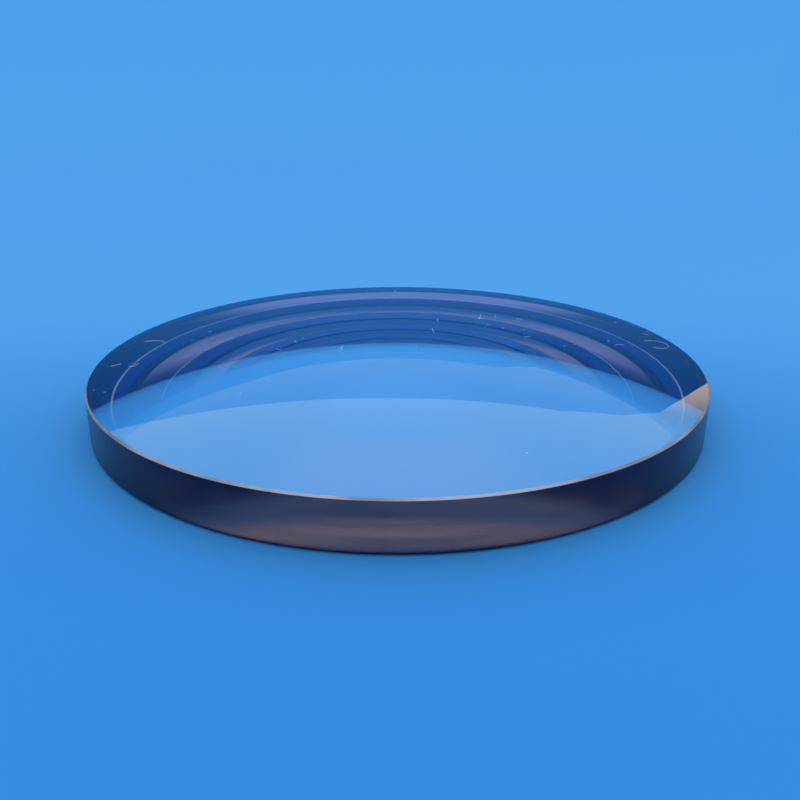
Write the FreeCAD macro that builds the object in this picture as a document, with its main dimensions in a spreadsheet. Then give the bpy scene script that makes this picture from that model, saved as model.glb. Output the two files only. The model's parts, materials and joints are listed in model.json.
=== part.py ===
import FreeCAD, Part

import math
import os

import Sketcher

# Front lens element of a wide camera lens: one piece of ground and polished optical glass.
# It is a negative meniscus, a disc with a slightly domed front face and a hollowed rear face.
# It lies on the narrow flat seat round the hollow, with its optical axis along +Z and its front face up.
# The origin is on the axis, in the plane of that seat. Lengths are in millimetres.

# Driving dimensions, one cell each. The optical designer sets the two radii of curvature, the
# centre thickness and the edge radius, and the height of the edge wall follows from them.
SIZES = (
    ("edge_radius", 36.0, "radius of the ground cylindrical wall"),
    ("centre_thickness", 1.45, "glass thickness on the optical axis"),
    ("front_curvature_radius", 540.0, "sphere of the slightly convex front face"),
    ("rear_curvature_radius", 121.0, "sphere of the concave rear face"),
    ("seat_width", 0.5, "flat ground seat round the rear face"),
    ("front_bevel_leg", 0.2, "ground bevel between the front face and the wall"),
    ("foot_bevel_leg", 0.3, "ground bevel between the wall and the seat"),
)

NODE = "lens_element"


def make_sheet(doc):
    """The driving dimensions as a spreadsheet: name, value and meaning in each row."""
    sheet = doc.addObject("Spreadsheet::Sheet", "sizes")
    for row, (alias, value, meaning) in enumerate(SIZES, start=1):
        sheet.set("A%d" % row, alias)
        sheet.set("B%d" % row, str(value))
        sheet.set("C%d" % row, meaning)
        sheet.setAlias("B%d" % row, alias)
    doc.recompute()
    return sheet


def cap_height(sphere_radius, rim_radius):
    """Height of a spherical cap over its rim circle."""
    return sphere_radius - math.sqrt(sphere_radius**2 - rim_radius**2)


def profile_corners(sheet):
    """Corners of the half section, as x and height, from the rear pole round to the front pole."""
    seat_outer = sheet.edge_radius - sheet.foot_bevel_leg
    rear_rim = seat_outer - sheet.seat_width
    front_rim = sheet.edge_radius - sheet.front_bevel_leg
    rear_pole = cap_height(sheet.rear_curvature_radius, rear_rim)
    front_pole = rear_pole + sheet.centre_thickness
    front_edge = front_pole - cap_height(sheet.front_curvature_radius, front_rim)
    return {
        "rear_pole": (0.0, rear_pole),
        "rear_rim": (rear_rim, 0.0),
        "seat_outer": (seat_outer, 0.0),
        "wall_foot": (sheet.edge_radius, sheet.foot_bevel_leg),
        "wall_top": (sheet.edge_radius, front_edge - sheet.front_bevel_leg),
        "front_rim": (front_rim, front_edge),
        "front_pole": (0.0, front_pole),
    }


def line_between(start, end):
    """A sketch line between two corners."""
    return Part.LineSegment(FreeCAD.Vector(*start, 0), FreeCAD.Vector(*end, 0))


def face_arc(rim, pole, sphere_radius):
    """The arc of an optical face from its rim up to its pole, centred on the axis below the lens."""
    centre = FreeCAD.Vector(0, pole[1] - sphere_radius, 0)
    rim_angle = math.atan2(rim[1] - centre.y, rim[0])
    circle = Part.Circle(centre, FreeCAD.Vector(0, 0, 1), sphere_radius)
    return Part.ArcOfCircle(circle, rim_angle, math.pi / 2)


def draw_outline(sketch, sheet):
    """Draw the half section as a closed chain of edges and give each edge its index by name."""
    at = profile_corners(sheet)
    edges = (
        ("rear_face", face_arc(at["rear_rim"], at["rear_pole"], sheet.rear_curvature_radius)),
        ("seat", line_between(at["rear_rim"], at["seat_outer"])),
        ("foot_bevel", line_between(at["seat_outer"], at["wall_foot"])),
        ("wall", line_between(at["wall_foot"], at["wall_top"])),
        ("front_bevel", line_between(at["wall_top"], at["front_rim"])),
        ("front_face", face_arc(at["front_rim"], at["front_pole"], sheet.front_curvature_radius)),
        ("axis", line_between(at["front_pole"], at["rear_pole"])),
    )
    return {name: sketch.addGeometry(shape, False) for name, shape in edges}


# A constraint gives a point of an edge by its place in the first list. It gives the sketch's own
# origin and axis by their place in the second one, counted below zero.
POINTS = ("whole_edge", "start", "end", "centre")
OWN_EDGES = ("first_edge", "origin", "vertical_axis")


def point(name):
    """The number of a point of an edge."""
    return POINTS.index(name)


def own_edge(name):
    """The number of the sketch's own origin or axis."""
    return -OWN_EDGES.index(name)


def join_outline(sketch, edge):
    """Close the chain and set each edge's direction: what stays true whatever the sizes are."""
    order = ("seat", "foot_bevel", "wall", "front_bevel", "front_face", "axis")
    meets = [(edge["rear_face"], point("start"), edge["seat"], point("start"))]
    for before, after in zip(order, order[1:]):
        meets.append((edge[before], point("end"), edge[after], point("start")))
    meets.append((edge["axis"], point("end"), edge["rear_face"], point("end")))
    for meeting in meets:
        sketch.addConstraint(Sketcher.Constraint("Coincident", *meeting))
    on_axis = (("rear_face", "centre"), ("front_face", "centre"), ("axis", "start"), ("axis", "end"))
    for name, which in on_axis:
        where = (edge[name], point(which), own_edge("vertical_axis"))
        sketch.addConstraint(Sketcher.Constraint("PointOnObject", *where))
    seat_start = (edge["seat"], point("start"), own_edge("origin"))
    sketch.addConstraint(Sketcher.Constraint("PointOnObject", *seat_start))
    sketch.addConstraint(Sketcher.Constraint("Horizontal", edge["seat"]))
    sketch.addConstraint(Sketcher.Constraint("Vertical", edge["wall"]))


def size_outline(sketch, edge):
    """Give the outline its sizes, each bound to its cell in the sheet."""

    def along(name, first="start", second="end"):
        return edge[name], point(first), edge[name], point(second)

    wall_radius = (own_edge("origin"), point("start"), edge["wall"], point("start"))
    sizes = (
        ("edge_radius", "DistanceX", wall_radius, "edge_radius"),
        ("centre_thickness", "DistanceY", along("axis", "end", "start"), "centre_thickness"),
        ("front_radius", "Radius", (edge["front_face"],), "front_curvature_radius"),
        ("rear_radius", "Radius", (edge["rear_face"],), "rear_curvature_radius"),
        ("seat_width", "DistanceX", along("seat"), "seat_width"),
        ("front_bevel_in", "DistanceX", along("front_bevel", "end", "start"), "front_bevel_leg"),
        ("front_bevel_up", "DistanceY", along("front_bevel"), "front_bevel_leg"),
        ("foot_bevel_in", "DistanceX", along("foot_bevel"), "foot_bevel_leg"),
        ("foot_bevel_up", "DistanceY", along("foot_bevel"), "foot_bevel_leg"),
    )
    for name, kind, where, alias in sizes:
        value = sketch.Document.sizes.get(alias)
        index = sketch.addConstraint(Sketcher.Constraint(kind, *where, value))
        sketch.renameConstraint(index, name)
        sketch.setExpression("Constraints.%s" % name, "sizes.%s" % alias)


def make_lens(doc, sheet):
    """The lens: its half section on the XZ plane, turned once round the optical axis."""
    body = doc.addObject("PartDesign::Body", NODE)
    body.Label = NODE
    section_plane = next(plane for plane in body.Origin.OriginFeatures if plane.Role == "XZ_Plane")
    sketch = body.newObject("Sketcher::SketchObject", "half_section")
    sketch.AttachmentSupport = (section_plane, [""])
    sketch.MapMode = "FlatFace"
    edge = draw_outline(sketch, sheet)
    join_outline(sketch, edge)
    size_outline(sketch, edge)
    doc.recompute()
    turned = body.newObject("PartDesign::Revolution", "turned_glass")
    turned.Profile = sketch
    turned.ReferenceAxis = (sketch, ["V_Axis"])
    turned.Angle = 360
    sketch.Visibility = False
    body.Placement = FreeCAD.Placement()
    doc.recompute()
    return body


def check_document(doc, bodies):
    """Stop if anything failed to build or a sub-part isn't one valid solid."""
    for item in doc.Objects:
        if "Invalid" in item.State or "Error" in item.State:
            raise RuntimeError("%s did not build: %s" % (item.Name, item.State))
    for body in bodies:
        shape = body.Shape
        if shape.isNull() or not shape.isValid() or len(shape.Solids) != 1:
            raise RuntimeError("%s is not one valid solid" % body.Label)


def main():
    doc = FreeCAD.newDocument("front_lens_element")
    sheet = make_sheet(doc)
    bodies = [make_lens(doc, sheet)]
    check_document(doc, bodies)
    os.makedirs("parts", exist_ok=True)
    for body in bodies:
        body.Shape.exportStep("parts/%s.step" % body.Label)
        box = body.Shape.BoundBox
        print(body.Label, "volume", round(body.Shape.Volume, 1), "mm3, box",
              [round(v, 3) for v in (box.XLength, box.YLength, box.ZLength)])


main()
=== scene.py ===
import json
import math
import random

import bpy
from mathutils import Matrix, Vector


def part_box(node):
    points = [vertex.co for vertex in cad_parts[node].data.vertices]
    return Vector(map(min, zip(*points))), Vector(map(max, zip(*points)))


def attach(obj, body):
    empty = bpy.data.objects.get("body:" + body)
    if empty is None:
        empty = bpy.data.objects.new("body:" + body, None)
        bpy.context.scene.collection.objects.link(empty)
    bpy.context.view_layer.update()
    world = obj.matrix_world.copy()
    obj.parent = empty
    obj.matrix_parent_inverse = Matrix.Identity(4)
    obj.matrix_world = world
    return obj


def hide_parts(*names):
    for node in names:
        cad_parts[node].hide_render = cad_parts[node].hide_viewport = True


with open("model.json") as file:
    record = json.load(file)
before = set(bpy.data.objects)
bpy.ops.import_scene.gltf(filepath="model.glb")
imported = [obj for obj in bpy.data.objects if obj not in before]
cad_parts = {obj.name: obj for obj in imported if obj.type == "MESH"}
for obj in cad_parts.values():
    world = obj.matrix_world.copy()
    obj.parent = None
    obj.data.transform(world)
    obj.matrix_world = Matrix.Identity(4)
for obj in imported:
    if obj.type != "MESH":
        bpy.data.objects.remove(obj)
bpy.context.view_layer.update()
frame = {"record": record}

# Front lens element: one glass meniscus, polished on both faces and ground on its wall, seat and
# bevels, with black ink on the wall. Lengths are in metres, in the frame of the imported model.
MM = 0.001


# Sizes that the frame gives
NODE = "lens_element"
edge_mount = next(mount for mount in frame["record"]["mounts"] if mount["name"] == "edge")
EDGE_RADIUS = edge_mount["dims"]["r_mm"] * MM
WALL_FOOT = edge_mount["pos_m"][2] - edge_mount["dims"]["length_mm"] * MM / 2
WALL_TOP = edge_mount["pos_m"][2] + edge_mount["dims"]["length_mm"] * MM / 2
FRONT_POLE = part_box(NODE)[1][2]

# Sizes repeated from the construction
CENTRE_THICKNESS = 1.45 * MM
SEAT_WIDTH = 0.5 * MM
FRONT_BEVEL = 0.2 * MM
FOOT_BEVEL = 0.3 * MM
FRONT_CURVATURE = 540 * MM
REAR_CURVATURE = 121 * MM

SEAT_OUTER = EDGE_RADIUS - FOOT_BEVEL
REAR_RIM = SEAT_OUTER - SEAT_WIDTH
FRONT_RIM = EDGE_RADIUS - FRONT_BEVEL
REAR_POLE = FRONT_POLE - CENTRE_THICKNESS

# Polished glass, its coating and the grains of dust on it
GLASS_INDEX = 1.73
GLASS_TINT = (0.97, 0.985, 1.0)
COATING = (0.40, 0.65, 0.95)
DUST_CELLS = 420
DUST_FREE_SHARE = 0.72
DUST_SIZE = 0.06
DUST_COVER = 0.45
DUST_COLOUR = (0.62, 0.66, 0.72)

# Ground glass. Grains are for each metre: round the lens and along the axis, or the same both ways
GROUND_GRAIN = 7000
GROUND_DEPTH = 0.006 * MM
BRUSH_GRAIN = (55, 1100)
BRUSH_DETAIL = 5.0
BRUSH_SPAN = (0.3, 0.7)

# The ink on the wall, where it is thin or thick, and painted shade along its foot that stands in for
# the contact shadow:
# its colour from outside, and its colour for light that leaves the glass through it. INK_BACK is its
# gleam seen from inside.
WALL_ROUGHNESS = 0.24
WALL_DEPTH = 0.004 * MM
INK_CLEARNESS = 0.96
INK_SHINE = (0.02, 0.08, 0.35)
INK_THIN = (0.046, 0.018, 0.018)
INK_THICK = (0.020, 0.009, 0.009)
INK_THIN_THROUGH = (0.21, 0.165, 0.20)
INK_THICK_THROUGH = (0.12, 0.10, 0.15)
# Painted shade: the wall turns near black along its foot, standing in for the contact shadow there
INK_FOOT_SHADE = (0.0015, 0.0012, 0.004)
INK_FOOT_SHADE_THROUGH = (0.04, 0.035, 0.06)
FOOT_SHADE_HEIGHT = 0.4 * MM
INK_BACK = (0.008, 0.035, 0.19)

# The inked seat and foot bevel, and the bare front bevel
FOOT_THIN = (0.006, 0.006, 0.014)
FOOT_THICK = (0.002, 0.002, 0.006)
FOOT_ROUGHNESS = 0.5
FOOT_SHINE = (0.2, 0.2, 0.2)
BEVEL_GRAIN = (160, 160)
BEVEL_SPAN = (0.35, 0.65)
BEVEL_DARK = (0.22, 0.21, 0.24)
BEVEL_PALE = (0.52, 0.48, 0.51)
BEVEL_ROUGHNESS = 0.6
BEVEL_CLEARNESS = 0.45

# Lint on the front face, one hair or speck in each row: place as a share of the edge radius to the
# right and to the back, length in millimetres, heading in degrees from the right, and turn in degrees
LINT = (
    (-0.01, 0.87, 1.8, 95, 0), (-0.14, 0.90, 0.3, 0, 0), (-0.90, 0.18, 3.6, 30, -105),
    (-0.94, -0.08, 1.2, 30, 10), (-0.88, -0.09, 0.9, -20, 30), (-0.86, -0.08, 0.6, 60, 0),
    (-0.69, 0.27, 0.4, 0, 0), (-0.89, -0.32, 0.3, 30, 0), (-0.41, 0.03, 0.8, -35, 0),
    (-0.36, 0.12, 0.9, -60, 0), (-0.19, 0.0, 2.0, 88, 0), (-0.2, 0.03, 0.5, 0, 0),
    (0.15, 0.36, 1.6, 88, 0), (0.13, 0.21, 1.8, 92, 0), (0.31, 0.40, 3.0, 80, 0),
    (0.30, 0.41, 0.9, 10, 0), (0.37, 0.43, 1.6, 78, 0), (0.33, 0.32, 0.4, 0, 0),
    (0.32, 0.29, 0.3, 70, 0), (0.38, 0.28, 0.4, 20, 0), (0.45, 0.42, 0.9, -15, 0),
    (0.45, 0.17, 0.9, 50, -60), (0.57, 0.08, 0.3, 0, 0), (0.74, 0.16, 0.4, 10, 0),
    (0.79, 0.12, 1.7, 150, 120), (0.83, 0.43, 0.3, 0, 0), (0.89, 0.40, 0.3, 0, 0),
    (0.90, 0.28, 0.7, -20, 0), (0.89, 0.11, 7.0, -15, 250),
)
LINT_RADIUS = 0.025 * MM
LINT_STEPS = 14
# Largest turn either way at each step of a hair, in degrees
LINT_WOBBLE = 9
LINT_SEED = 7
LINT_GRAIN = 1500
LINT_DARK = (0.30, 0.42, 0.66)
LINT_PALE = (0.62, 0.70, 0.84)
LINT_ROUGHNESS = 0.8

# Fineness of the turned mesh
TURNS = 384
FACE_RINGS = 64
WALL_RINGS = 8
EDGE_RINGS = 2


def sphere_height(radius, pole, curvature):
    """Height of an optical face at a distance from the axis."""
    return pole - curvature + math.sqrt(curvature**2 - radius**2)


# Materials

def new_material(name):
    """An empty Principled material with its shader and node tree."""
    material = bpy.data.materials.new(name)
    material.use_nodes = True
    return material, material.node_tree, material.node_tree.nodes["Principled BSDF"]


def number(tree, operation, *values):
    """A math node, whose values are sockets or numbers; gives its output."""
    node = tree.nodes.new("ShaderNodeMath")
    node.operation = operation
    for socket, value in zip(node.inputs, values):
        if isinstance(value, (int, float)):
            socket.default_value = value
        else:
            tree.links.new(value, socket)
    return node.outputs["Value"]


def ramp(tree, value, low, high, first=0.0, last=1.0):
    """A smooth step of a value between two limits."""
    node = tree.nodes.new("ShaderNodeMapRange")
    node.interpolation_type = "SMOOTHSTEP"
    for name, limit in (("From Min", low), ("From Max", high), ("To Min", first), ("To Max", last)):
        node.inputs[name].default_value = limit
    tree.links.new(value, node.inputs["Value"])
    return node.outputs["Result"]


def blend(tree, factor, first, last):
    """A colour between two colours."""
    node = tree.nodes.new("ShaderNodeMix")
    node.data_type = "RGBA"
    tree.links.new(factor, node.inputs["Factor"])
    for name, colour in (("A", first), ("B", last)):
        if isinstance(colour, tuple):
            node.inputs[name].default_value = (*colour, 1)
        else:
            tree.links.new(colour, node.inputs[name])
    return node.outputs["Result"]


def place_on(tree, across, up):
    """Places on the object, with a scale across and one along the axis."""
    spot = tree.nodes.new("ShaderNodeTexCoord")
    node = tree.nodes.new("ShaderNodeMapping")
    node.inputs["Scale"].default_value = (across, across, up)
    tree.links.new(spot.outputs["Object"], node.inputs["Vector"])
    return node.outputs["Vector"]


def noise(tree, across, up, detail=3.0):
    """Soft noise, whose grains get longer round the lens as the scale across gets smaller."""
    node = tree.nodes.new("ShaderNodeTexNoise")
    node.inputs["Scale"].default_value = 1.0
    node.inputs["Detail"].default_value = detail
    tree.links.new(place_on(tree, across, up), node.inputs["Vector"])
    return node.outputs["Fac"]


def bump(tree, height, distance):
    """A bump of a given height in metres."""
    node = tree.nodes.new("ShaderNodeBump")
    node.inputs["Distance"].default_value = distance
    tree.links.new(height, node.inputs["Height"])
    return node.outputs["Normal"]


def polished_glass():
    """Clear high-index glass under a bluish coating, with a few grains of dust on the front face."""
    material, tree, shader = new_material("polished_glass")
    nodes, links = tree.nodes, tree.links
    shader.inputs["Base Color"].default_value = (*GLASS_TINT, 1)
    shader.inputs["Roughness"].default_value = 0.0
    shader.inputs["IOR"].default_value = GLASS_INDEX
    shader.inputs["Transmission Weight"].default_value = 1.0
    shader.inputs["Specular Tint"].default_value = (*COATING, 1)
    grains = nodes.new("ShaderNodeTexVoronoi")
    grains.inputs["Scale"].default_value = 1.0
    links.new(place_on(tree, DUST_CELLS, DUST_CELLS), grains.inputs["Vector"])
    apart = nodes.new("ShaderNodeSeparateColor")
    links.new(grains.outputs["Color"], apart.inputs["Color"])
    size = ramp(tree, apart.outputs["Red"], DUST_FREE_SHARE, 1.0, 0.0, DUST_SIZE)
    grain = number(tree, "LESS_THAN", grains.outputs["Distance"], size)
    spot = nodes.new("ShaderNodeNewGeometry")
    height = nodes.new("ShaderNodeSeparateXYZ")
    links.new(spot.outputs["Position"], height.inputs["Vector"])
    on_front = number(tree, "GREATER_THAN", height.outputs["Z"], REAR_POLE)
    dust = nodes.new("ShaderNodeBsdfDiffuse")
    dust.inputs["Color"].default_value = (*DUST_COLOUR, 1)
    covered = number(tree, "MULTIPLY", number(tree, "MULTIPLY", grain, on_front), DUST_COVER)
    mix = nodes.new("ShaderNodeMixShader")
    links.new(covered, mix.inputs["Fac"])
    links.new(shader.outputs["BSDF"], mix.inputs[1])
    links.new(dust.outputs["BSDF"], mix.inputs[2])
    links.new(mix.outputs["Shader"], nodes["Material Output"].inputs["Surface"])
    return material


def inked_wall():
    """The ground wall under brushed black ink, darkened along its foot by painted shade.

    Seen from inside the glass, the ink lets a little light out, gives a faint blue gleam and
    soaks up the rest.
    """
    material, tree, shader = new_material("inked_wall")
    nodes, links = tree.nodes, tree.links
    spot = nodes.new("ShaderNodeTexCoord")
    apart = nodes.new("ShaderNodeSeparateXYZ")
    links.new(spot.outputs["Object"], apart.inputs["Vector"])
    # Painted shade: the wall darkens towards its foot, standing in for the contact shadow
    foot_shade = ramp(tree, apart.outputs["Z"], WALL_FOOT, WALL_FOOT + FOOT_SHADE_HEIGHT, 1.0, 0.0)
    cover = ramp(tree, noise(tree, *BRUSH_GRAIN, BRUSH_DETAIL), *BRUSH_SPAN)
    grain = bump(tree, noise(tree, GROUND_GRAIN, GROUND_GRAIN), WALL_DEPTH)
    ink = blend(tree, foot_shade, blend(tree, cover, INK_THIN, INK_THICK), INK_FOOT_SHADE)
    links.new(ink, shader.inputs["Base Color"])
    links.new(grain, shader.inputs["Normal"])
    shader.inputs["Roughness"].default_value = WALL_ROUGHNESS
    shader.inputs["IOR"].default_value = GLASS_INDEX
    shader.inputs["Transmission Weight"].default_value = INK_CLEARNESS
    shader.inputs["Specular Tint"].default_value = (*INK_SHINE, 1)
    out = nodes.new("ShaderNodeBsdfRefraction")
    out.inputs["Roughness"].default_value = WALL_ROUGHNESS
    out.inputs["IOR"].default_value = GLASS_INDEX
    through = blend(tree, cover, INK_THIN_THROUGH, INK_THICK_THROUGH)
    links.new(blend(tree, foot_shade, through, INK_FOOT_SHADE_THROUGH), out.inputs["Color"])
    links.new(grain, out.inputs["Normal"])
    back = nodes.new("ShaderNodeBsdfAnisotropic")
    back.inputs["Color"].default_value = (*INK_BACK, 1)
    back.inputs["Roughness"].default_value = WALL_ROUGHNESS
    inside = nodes.new("ShaderNodeAddShader")
    links.new(out.outputs["BSDF"], inside.inputs[0])
    links.new(back.outputs["BSDF"], inside.inputs[1])
    side = nodes.new("ShaderNodeNewGeometry")
    mix = nodes.new("ShaderNodeMixShader")
    links.new(side.outputs["Backfacing"], mix.inputs["Fac"])
    links.new(shader.outputs["BSDF"], mix.inputs[1])
    links.new(inside.outputs["Shader"], mix.inputs[2])
    links.new(mix.outputs["Shader"], nodes["Material Output"].inputs["Surface"])
    return material


def ground_foot():
    """The ground seat and foot bevel, dark with ink that ran round the corner."""
    material, tree, shader = new_material("ground_foot")
    cover = ramp(tree, noise(tree, *BRUSH_GRAIN), *BRUSH_SPAN)
    grain = bump(tree, noise(tree, GROUND_GRAIN, GROUND_GRAIN), GROUND_DEPTH)
    tree.links.new(blend(tree, cover, FOOT_THIN, FOOT_THICK), shader.inputs["Base Color"])
    tree.links.new(grain, shader.inputs["Normal"])
    shader.inputs["Roughness"].default_value = FOOT_ROUGHNESS
    shader.inputs["IOR"].default_value = GLASS_INDEX
    shader.inputs["Specular Tint"].default_value = (*FOOT_SHINE, 1)
    return material


def ground_bevel():
    """The bare ground front bevel, which catches the light as a pale, slightly uneven line."""
    material, tree, shader = new_material("ground_bevel")
    uneven = ramp(tree, noise(tree, *BEVEL_GRAIN), *BEVEL_SPAN)
    grain = bump(tree, noise(tree, GROUND_GRAIN, GROUND_GRAIN), GROUND_DEPTH)
    tree.links.new(blend(tree, uneven, BEVEL_DARK, BEVEL_PALE), shader.inputs["Base Color"])
    tree.links.new(grain, shader.inputs["Normal"])
    shader.inputs["Roughness"].default_value = BEVEL_ROUGHNESS
    shader.inputs["IOR"].default_value = GLASS_INDEX
    shader.inputs["Transmission Weight"].default_value = BEVEL_CLEARNESS
    return material


def lint_fibre():
    """Pale textile lint, uneven along each hair."""
    material, tree, shader = new_material("lint_fibre")
    uneven = noise(tree, LINT_GRAIN, LINT_GRAIN)
    tree.links.new(blend(tree, uneven, LINT_DARK, LINT_PALE), shader.inputs["Base Color"])
    shader.inputs["Roughness"].default_value = LINT_ROUGHNESS
    return material


# The lens

def straight(start, end, steps):
    """Points along a straight edge of a section."""
    return [tuple(a + (b - a) * i / steps for a, b in zip(start, end)) for i in range(steps + 1)]


def lens_section():
    """Zones of the half section from the rear pole to the front pole: material, points and normal."""
    seat_inner, seat_outer = (REAR_RIM, 0), (SEAT_OUTER, 0)
    wall_foot, wall_top = (EDGE_RADIUS, WALL_FOOT), (EDGE_RADIUS, WALL_TOP)
    front_edge = (FRONT_RIM, WALL_TOP + FRONT_BEVEL)
    rear_centre = REAR_POLE - REAR_CURVATURE
    front_centre = FRONT_POLE - FRONT_CURVATURE

    def rear_point(share):
        """A point of the rear face, at a share of the way from its pole to its rim."""
        radius = REAR_RIM * share
        return radius, sphere_height(radius, REAR_POLE, REAR_CURVATURE)

    def front_point(share):
        """A point of the front face, at a share of the way from its rim to its pole."""
        radius = FRONT_RIM * (1 - share)
        return radius, sphere_height(radius, FRONT_POLE, FRONT_CURVATURE)

    slope = math.sqrt(0.5)
    return (
        ("polish", [rear_point(i / FACE_RINGS) for i in range(FACE_RINGS + 1)],
         lambda r, z: (-r / REAR_CURVATURE, (rear_centre - z) / REAR_CURVATURE)),
        ("foot", straight(seat_inner, seat_outer, EDGE_RINGS), lambda r, z: (0, -1)),
        ("foot", straight(seat_outer, wall_foot, EDGE_RINGS), lambda r, z: (slope, -slope)),
        ("wall", straight(wall_foot, wall_top, WALL_RINGS), lambda r, z: (1, 0)),
        ("bevel", straight(wall_top, front_edge, EDGE_RINGS), lambda r, z: (slope, slope)),
        ("polish", [front_point(i / FACE_RINGS) for i in range(FACE_RINGS + 1)],
         lambda r, z: (r / FRONT_CURVATURE, (z - front_centre) / FRONT_CURVATURE)),
    )


def turn(angle, radius, height):
    """A point or direction of the half section, turned about the axis."""
    return Vector((radius * math.cos(angle), radius * math.sin(angle), height))


def make_lens(materials):
    """The glass, turned as one closed mesh with a material for each zone and exact normals."""
    slots = list(materials)
    angles = [math.tau * i / TURNS for i in range(TURNS)]
    points, faces, face_slots, normals = [], [], [], []

    def ring_of(radius, height):
        """Indices of a ring of points, or of the one point at a pole."""
        first = len(points)
        if radius == 0:
            points.append(Vector((0, 0, height)))
            return [first] * TURNS
        points.extend(turn(angle, radius, height) for angle in angles)
        return list(range(first, first + TURNS))

    last = None
    for zone, outline, normal_at in lens_section():
        lines = [last or ring_of(*outline[0])]
        lines += [ring_of(*corner) for corner in outline[1:]]
        last = lines[-1]
        for row in range(len(outline) - 1):
            side = [normal_at(*end) for end in outline[row:row + 2]]
            for i in range(TURNS):
                after = (i + 1) % TURNS
                corners = (
                    (lines[row][i], angles[i], side[0]),
                    (lines[row][after], angles[after], side[0]),
                    (lines[row + 1][after], angles[after], side[1]),
                    (lines[row + 1][i], angles[i], side[1]),
                )
                face = []
                for index, angle, normal in corners:
                    if index not in face:
                        face.append(index)
                        normals.append(turn(angle, *normal))
                faces.append(face)
                face_slots.append(slots.index(zone))
    mesh = bpy.data.meshes.new("lens")
    mesh.from_pydata(points, [], faces)
    for zone in slots:
        mesh.materials.append(materials[zone])
    mesh.polygons.foreach_set("material_index", face_slots)
    mesh.polygons.foreach_set("use_smooth", [True] * len(faces))
    mesh.normals_split_custom_set(normals)
    mesh.validate()
    lens = bpy.data.objects.new("lens", mesh)
    bpy.context.collection.objects.link(lens)
    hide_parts(NODE)
    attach(lens, "root")


make_lens({
    "polish": polished_glass(),
    "wall": inked_wall(),
    "foot": ground_foot(),
    "bevel": ground_bevel(),
})


# The lint

def make_lint():
    """The hairs and specks on the front face as one mesh of thin closed tubes."""
    draw = random.Random(LINT_SEED)
    points, faces = [], []
    for right, back, length, heading, turned in LINT:
        spot = Vector((right * EDGE_RADIUS, back * EDGE_RADIUS, 0))
        first = len(points)
        for step in range(LINT_STEPS + 1):
            wobble = draw.uniform(-LINT_WOBBLE, LINT_WOBBLE)
            angle = math.radians(heading + turned * step / LINT_STEPS + wobble)
            along = Vector((math.cos(angle), math.sin(angle), 0))
            across = Vector((-along.y, along.x, 0)) * LINT_RADIUS
            surface = sphere_height(spot.length, FRONT_POLE, FRONT_CURVATURE)
            centre = Vector((spot.x, spot.y, min(surface, FRONT_POLE - LINT_RADIUS)))
            rise = Vector((0, 0, LINT_RADIUS))
            points += [centre + across, centre + rise, centre - across, centre - rise]
            spot += along * (length * MM / LINT_STEPS)
        for step in range(LINT_STEPS):
            ring = first + 4 * step
            for side in range(4):
                after = (side + 1) % 4
                faces.append((ring + side, ring + after, ring + 4 + after, ring + 4 + side))
        last = first + 4 * LINT_STEPS
        faces += [(first + 3, first + 2, first + 1, first), (last, last + 1, last + 2, last + 3)]
    mesh = bpy.data.meshes.new("lint")
    mesh.from_pydata(points, [], faces)
    mesh.materials.append(lint_fibre())
    lint = bpy.data.objects.new("lint", mesh)
    bpy.context.collection.objects.link(lint)
    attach(lint, "root")


make_lint()


# Stage

FLOOR_GAP = 0.05 * MM
FLOOR_SIZE = 6.0
PAPER_ROUGHNESS = 0.9
PAPER_SHINE = 0.1
# Painted shade: the paper's colour is darker in front of the lens than behind it
PAPER = (0.085, 0.385, 0.88)
PAPER_FRONT_SHADED = (0.035, 0.27, 0.79)
PAPER_SHADE_SPAN = (-0.045, 0.055)
# Share of the even paper colour that the camera and the glass see in place of the lit paper, and
# its level for each. For the camera it comes in with distance from the lens, so the shadow stays.
EVEN_FROM_CAMERA = 0.75
EVEN_THROUGH_GLASS = 0.85
EVEN_LEVEL = 0.95
GLASS_LEVEL = 1.0
FADE_START = 0.12
FADE_END = 0.34
# The backdrop's distance, its bend up from the floor and its fineness
SWEEP_DISTANCE = 0.42
SWEEP_BEND = 0.14
SWEEP_STEPS = 300
BEND_STEPS = 16
# Elevation of the backdrop's top edge, in degrees, against azimuth from the far side
SWEEP_TOP = (
    (-75, 12), (-52, 20), (-46, 22.8), (-36, 25.6), (-26, 25.4), (0, 26.1), (16, 26.1),
    (22, 25.2), (25, 23.8), (26.5, 21.3), (28.5, 17.5), (33, 12), (75, 12),
)


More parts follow.
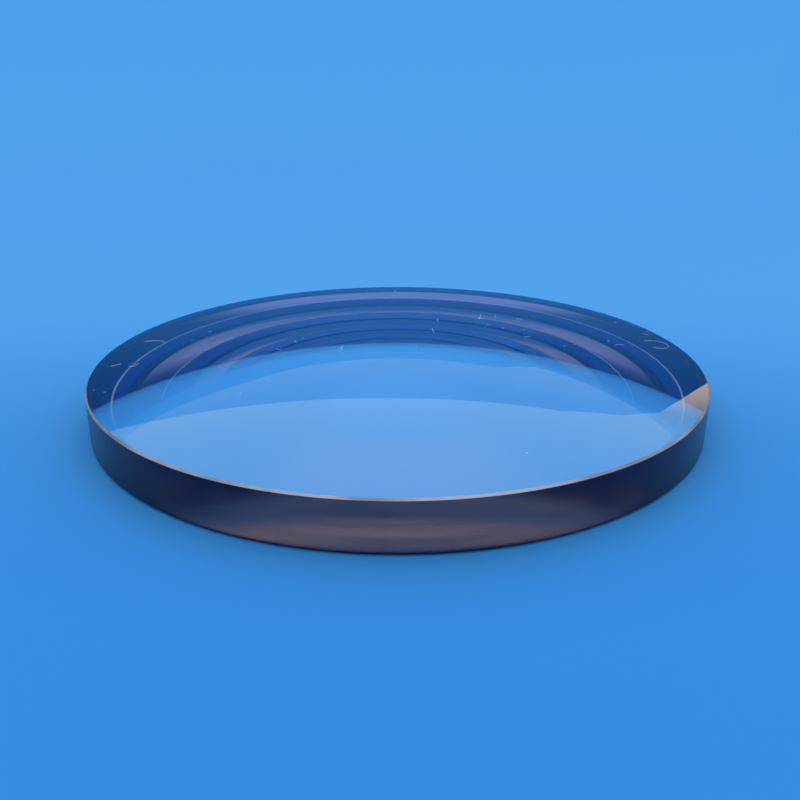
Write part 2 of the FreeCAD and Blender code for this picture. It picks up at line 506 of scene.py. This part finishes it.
def paper():
    """The pale paper of the stage, evenly coloured away from the lens and through the glass, and
    darker in front of the lens by painted shade.
    """
    material, tree, shader = new_material("paper")
    nodes, links = tree.nodes, tree.links
    place = nodes.new("ShaderNodeNewGeometry")
    apart = nodes.new("ShaderNodeSeparateXYZ")
    links.new(place.outputs["Position"], apart.inputs["Vector"])
    # Painted shade: the paper's colour darkens towards the front of the lens
    colour = blend(tree, ramp(tree, apart.outputs["Y"], *PAPER_SHADE_SPAN), PAPER_FRONT_SHADED, PAPER)
    links.new(colour, shader.inputs["Base Color"])
    shader.inputs["Roughness"].default_value = PAPER_ROUGHNESS
    shader.inputs["Specular IOR Level"].default_value = PAPER_SHINE
    rays = nodes.new("ShaderNodeLightPath")
    even = nodes.new("ShaderNodeEmission")
    links.new(colour, even.inputs["Color"])
    through_glass = rays.outputs["Is Transmission Ray"]
    level = number(tree, "MULTIPLY_ADD", through_glass, GLASS_LEVEL - EVEN_LEVEL, EVEN_LEVEL)
    links.new(level, even.inputs["Strength"])
    reach = nodes.new("ShaderNodeVectorMath")
    reach.operation = "LENGTH"
    links.new(place.outputs["Position"], reach.inputs[0])
    fade = ramp(tree, reach.outputs["Value"], FADE_START, FADE_END, 0.0, EVEN_FROM_CAMERA)
    seen = number(tree, "MULTIPLY", rays.outputs["Is Camera Ray"], fade)
    share = number(tree, "MULTIPLY_ADD", through_glass, EVEN_THROUGH_GLASS, seen)
    mix = nodes.new("ShaderNodeMixShader")
    links.new(share, mix.inputs["Fac"])
    links.new(shader.outputs["BSDF"], mix.inputs[1])
    links.new(even.outputs["Emission"], mix.inputs[2])
    links.new(mix.outputs["Shader"], nodes["Material Output"].inputs["Surface"])
    return material


def staged(name, points, faces, material):
    """A mesh of the stage."""
    mesh = bpy.data.meshes.new(name)
    mesh.from_pydata(points, [], faces)
    mesh.materials.append(material)
    mesh.polygons.foreach_set("use_smooth", [True] * len(faces))
    thing = bpy.data.objects.new(name, mesh)
    bpy.context.collection.objects.link(thing)


def top_elevation(azimuth):
    """Elevation of the backdrop's top edge at an azimuth, in degrees."""
    for (start, low), (end, high) in zip(SWEEP_TOP, SWEEP_TOP[1:]):
        if azimuth <= end:
            return low + (high - low) * (azimuth - start) / (end - start)
    return SWEEP_TOP[-1][1]


def make_floor(material):
    """The plain floor."""
    half = FLOOR_SIZE / 2
    sides = ((-half, -half), (half, -half), (half, half), (-half, half))
    staged("floor", [(x, y, -FLOOR_GAP) for x, y in sides], [(0, 1, 2, 3)], material)


def make_backdrop(material):
    """The backdrop, which sweeps up behind the lens from the floor to its top edge."""
    first, last = SWEEP_TOP[0][0], SWEEP_TOP[-1][0]
    points, faces = [], []
    for i in range(SWEEP_STEPS + 1):
        azimuth = first + (last - first) * i / SWEEP_STEPS
        top = SWEEP_DISTANCE * math.tan(math.radians(top_elevation(azimuth)))
        bend = min(SWEEP_BEND, top)
        profile = []
        for j in range(BEND_STEPS + 1):
            turned = math.pi / 2 * j / BEND_STEPS
            distance = SWEEP_DISTANCE - bend * (1 - math.sin(turned))
            profile.append((distance, bend * (1 - math.cos(turned))))
        profile.append((SWEEP_DISTANCE, top + FLOOR_GAP))
        around = math.radians(azimuth)
        across, back = math.sin(around), math.cos(around)
        points += [(d * across, d * back, z - FLOOR_GAP) for d, z in profile]
    rows = BEND_STEPS + 2
    for i in range(SWEEP_STEPS):
        for j in range(rows - 1):
            corner = i * rows + j
            faces.append((corner, corner + 1, corner + rows + 1, corner + rows))
    staged("backdrop", points, faces, material)


stage_paper = paper()
make_floor(stage_paper)
make_backdrop(stage_paper)


# Light

# One soft light from all round: bluer and dimmer low down, where it comes back from the paper,
# warmer overhead and cooler above the backdrop, with a warm corner of the room at its right end.
# Azimuths from the far side, elevations and reaches are in degrees.
LOW_LIGHT = (0.62, 0.80, 0.92)
HIGH_LIGHT = (2.2, 1.5, 0.95)
HIGH_AZIMUTH = 180
HIGH_ELEVATION = 84
HIGH_REACH = 42
COOL_LIGHT = (0.78, 1.05, 1.8)
COOL_AZIMUTH = 0
COOL_ELEVATION = 54
COOL_REACH = 20
WARM_LIGHT = (2.15, 1.7, 1.4)
WARM_AZIMUTH = 21.5
WARM_ELEVATION = 17.5
WARM_REACH = 5.5


def direction_to(azimuth, elevation):
    """Unit direction towards an azimuth from the far side and an elevation, in degrees."""
    around, rise = math.radians(azimuth), math.radians(elevation)
    level = math.cos(rise)
    return Vector((math.sin(around) * level, math.cos(around) * level, math.sin(rise)))


def nearness(tree, direction, reach):
    """How near a direction of the sky is to a given one: 1 there, and 0 from so many degrees away."""
    place = tree.nodes.new("ShaderNodeTexCoord")
    node = tree.nodes.new("ShaderNodeVectorMath")
    node.operation = "DOT_PRODUCT"
    node.inputs[1].default_value = direction
    tree.links.new(place.outputs["Generated"], node.inputs[0])
    return ramp(tree, node.outputs["Value"], math.cos(math.radians(reach)), 1.0)


def make_light():
    """The soft light of the surroundings, which the camera sees in the colour of the paper."""
    world = bpy.data.worlds.new("world")
    bpy.context.scene.world = world
    world.use_nodes = True
    tree = world.node_tree
    nodes, links = tree.nodes, tree.links
    high = nearness(tree, direction_to(HIGH_AZIMUTH, HIGH_ELEVATION), HIGH_REACH)
    cool = nearness(tree, direction_to(COOL_AZIMUTH, COOL_ELEVATION), COOL_REACH)
    warm = nearness(tree, direction_to(WARM_AZIMUTH, WARM_ELEVATION), WARM_REACH)
    light = blend(tree, high, LOW_LIGHT, HIGH_LIGHT)
    light = blend(tree, cool, light, COOL_LIGHT)
    light = blend(tree, warm, light, WARM_LIGHT)
    links.new(light, nodes["Background"].inputs["Color"])
    seen = nodes.new("ShaderNodeBackground")
    seen.inputs["Color"].default_value = (*PAPER, 1)
    seen.inputs["Strength"].default_value = EVEN_LEVEL
    rays = nodes.new("ShaderNodeLightPath")
    mix = nodes.new("ShaderNodeMixShader")
    links.new(rays.outputs["Is Camera Ray"], mix.inputs["Fac"])
    links.new(nodes["Background"].outputs["Background"], mix.inputs[1])
    links.new(seen.outputs["Background"], mix.inputs[2])
    links.new(mix.outputs["Shader"], nodes["World Output"].inputs["Surface"])


make_light()


# Camera, fitted to both rim ellipses of the photograph: its tilt in degrees below the level, and
# the pixel of an 800 by 800 frame that its line of sight meets

FRAME_PIXELS = 800
FOCAL_PIXELS = 872
SENSOR = 36.0
CAMERA_BACK = 100.26 * MM
CAMERA_OVER_RIM = 34.24 * MM
CAMERA_TILT = 21.82
CAMERA_NEAR = 1 * MM
AXIS_PIXEL = (397.5, 406.1)


def make_camera():
    """The camera, which looks down at the front of the lens from the photograph's place."""
    data = bpy.data.cameras.new("camera")
    data.sensor_width = SENSOR
    data.lens = SENSOR * FOCAL_PIXELS / FRAME_PIXELS
    data.shift_x = (FRAME_PIXELS / 2 - AXIS_PIXEL[0]) / FRAME_PIXELS
    data.shift_y = (AXIS_PIXEL[1] - FRAME_PIXELS / 2) / FRAME_PIXELS
    data.clip_start = CAMERA_NEAR
    camera = bpy.data.objects.new("camera", data)
    bpy.context.collection.objects.link(camera)
    camera.location = (0, -CAMERA_BACK, WALL_TOP + CAMERA_OVER_RIM)
    camera.rotation_euler = (math.radians(90 - CAMERA_TILT), 0, 0)
    bpy.context.scene.camera = camera


make_camera()

# Light is followed through the lens for as many bounces as its repeated edge images need
BOUNCES = 32
GLASS_BOUNCES = 24

scene = bpy.context.scene
scene.view_settings.view_transform = "Standard"
scene.cycles.max_bounces = BOUNCES
scene.cycles.glossy_bounces = GLASS_BOUNCES
scene.cycles.transmission_bounces = GLASS_BOUNCES
